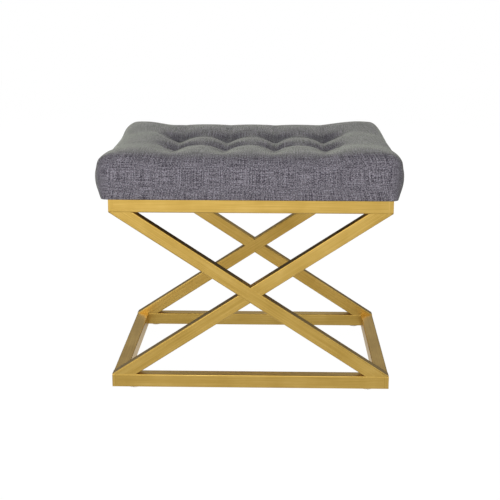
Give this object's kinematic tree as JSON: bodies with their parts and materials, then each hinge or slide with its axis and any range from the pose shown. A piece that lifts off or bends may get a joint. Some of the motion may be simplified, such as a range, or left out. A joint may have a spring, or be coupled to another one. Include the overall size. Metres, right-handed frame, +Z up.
{
  "type": "footstool",
  "caption": "Low upholstered footstool with a button-tufted rectangular cushion on a welded square-tube base with crossed legs front and rear.",
  "frame": {"origin": "on the floor, under the middle of the seat", "axes": "+X along the wider side to the right seen from the front, front towards -Y, +Z up"},
  "size_m": [0.5578, 0.4778, 0.449],
  "materials": {
    "gold_tube": "satin",
    "seat_fabric": "matte",
    "padding": "matte",
    "foam": "matte",
    "plywood": "matte",
    "hardware": "satin",
    "twine": "matte",
    "dust_fabric": "matte",
    "glide_plastic": "matte"
  },
  "bodies": {
    "root": {"dust_cover": "dust_fabric", "fabric_cover": "seat_fabric", "floor_glides": "glide_plastic", "front_bottom_rail": "gold_tube", "front_bottom_rail_end_caps": "gold_tube", "front_left_corner_plate": "gold_tube", "front_long_diagonal": "gold_tube", "front_lower_half_diagonal": "gold_tube", "front_panel_welds": "gold_tube", "front_right_corner_plate": "gold_tube", "front_top_rail": "gold_tube", "front_top_rail_end_caps": "gold_tube", "front_upper_half_diagonal": "gold_tube", "left_floor_stretcher": "gold_tube", "left_top_side_rail": "gold_tube", "rear_bottom_rail": "gold_tube", "rear_bottom_rail_end_caps": "gold_tube", "rear_left_corner_plate": "gold_tube", "rear_long_diagonal": "gold_tube", "rear_lower_half_diagonal": "gold_tube", "rear_panel_welds": "gold_tube", "rear_right_corner_plate": "gold_tube", "rear_top_rail": "gold_tube", "rear_top_rail_end_caps": "gold_tube", "rear_upper_half_diagonal": "gold_tube", "right_floor_stretcher": "gold_tube", "right_top_side_rail": "gold_tube", "seat_board": "plywood", "seat_bolts": "hardware", "seat_foam": "foam", "seat_nuts": "hardware", "soft_padding": "padding", "tuft_back_washers": "hardware", "tuft_buttons": "seat_fabric", "tuft_twines": "twine"}
  },
  "joints": []
}
